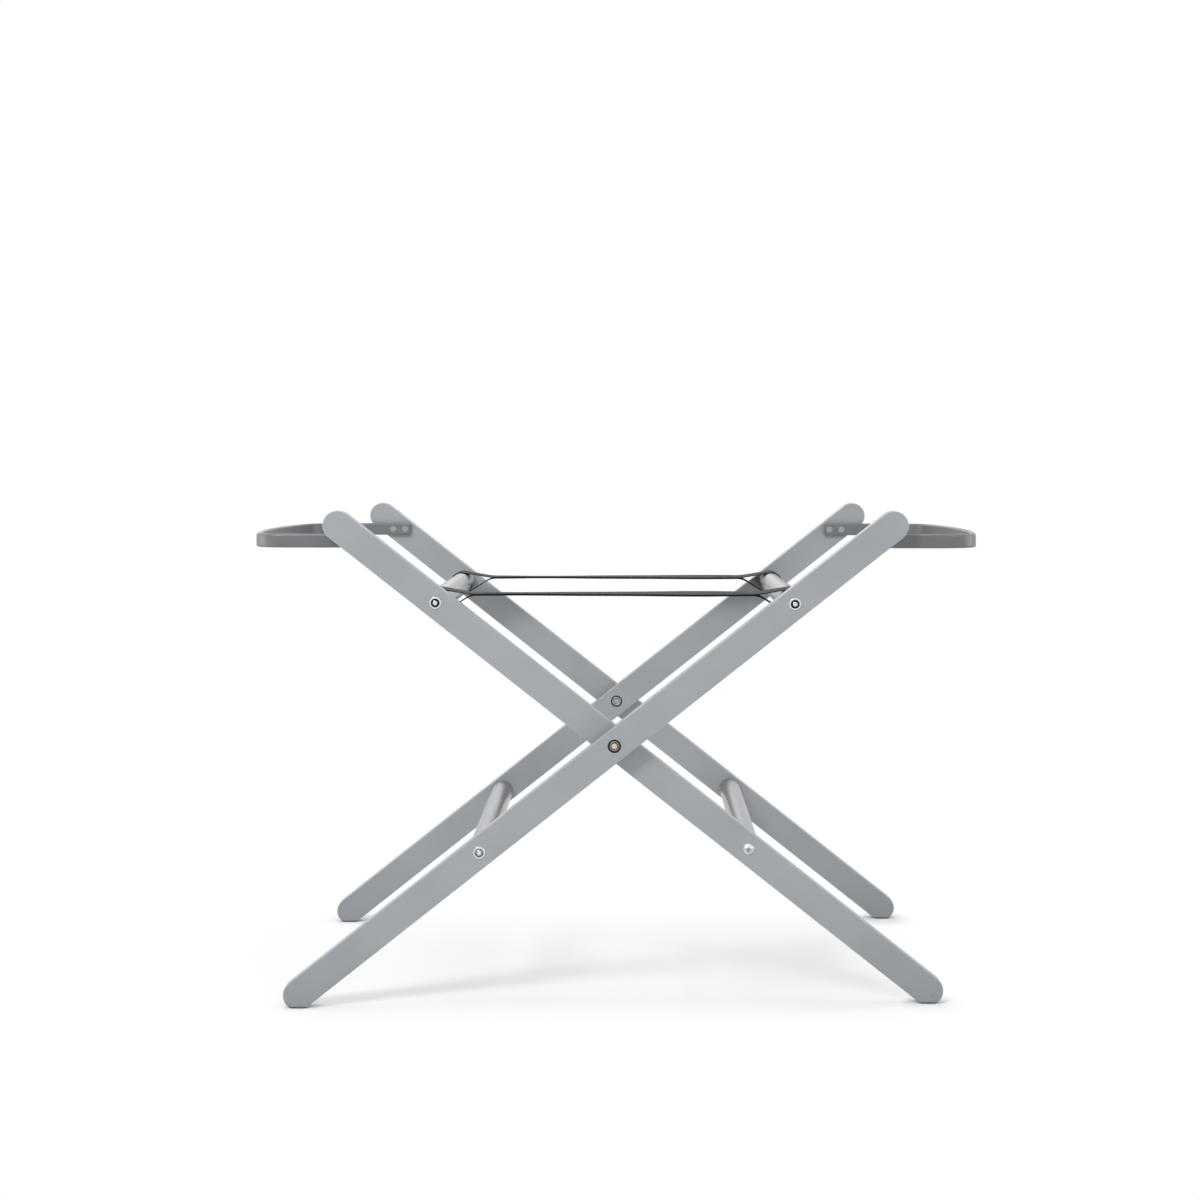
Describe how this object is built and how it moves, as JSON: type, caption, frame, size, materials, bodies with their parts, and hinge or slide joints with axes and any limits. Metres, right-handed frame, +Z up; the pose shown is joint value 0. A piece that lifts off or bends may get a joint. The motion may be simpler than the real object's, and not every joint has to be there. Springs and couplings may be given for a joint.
{
  "type": "folding moses basket stand",
  "caption": "Folding scissor stand with flat grey legs, round silver cross rails, bent retaining hoops and webbing straps, which holds a moses basket off the floor.",
  "frame": {"origin": "on the floor, under the pivot axis, midway between the front and back legs", "axes": "+X along the spread of the feet towards the right frame's tops, +Y from front to back, +Z up"},
  "size_m": [0.764, 0.4144, 0.4973],
  "materials": {
    "leg_paint": "satin grey paint",
    "rail_tube": "satin",
    "plug_steel": "zinc plated",
    "bolt_nickel": "nickel plated",
    "hoop_paint": "satin dark grey powder coat",
    "pivot_bronze": "antique bronze plated",
    "sleeve_steel": "zinc plated",
    "washer_nylon": "matte",
    "strap_webbing": "woven"
  },
  "bodies": {
    "left_frame": {"left_frame_front_leg": "leg_paint", "left_frame_back_leg": "leg_paint", "left_upper_rail": "rail_tube", "left_lower_rail": "rail_tube", "left_rail_plugs": "plug_steel", "left_rail_bolts": "bolt_nickel", "left_lower_rail_screws": "bolt_nickel", "left_rail_washers": "bolt_nickel", "left_hoop": "hoop_paint", "left_hoop_screws": "bolt_nickel", "front_pivot_bolt": "pivot_bronze", "back_pivot_bolt": "pivot_bronze", "front_pivot_sleeve_nut": "sleeve_steel", "back_pivot_sleeve_nut": "sleeve_steel", "front_pivot_washer": "washer_nylon", "back_pivot_washer": "washer_nylon", "front_strap": "strap_webbing", "back_strap": "strap_webbing"},
    "right_frame": {"right_frame_front_leg": "leg_paint", "right_frame_back_leg": "leg_paint", "right_upper_rail": "rail_tube", "right_lower_rail": "rail_tube", "right_rail_plugs": "plug_steel", "right_rail_bolts": "bolt_nickel", "right_rail_washers": "bolt_nickel", "right_hoop": "hoop_paint", "right_hoop_screws": "bolt_nickel"}
  },
  "joints": [
    {"name": "fold", "type": "hinge", "parent": "left_frame", "child": "right_frame", "pos_m": [0, 0, 0.26222], "axis": [0, -1, 0], "range_deg": [0, 93], "deforming": ["front_strap", "back_strap"]}
  ]
}
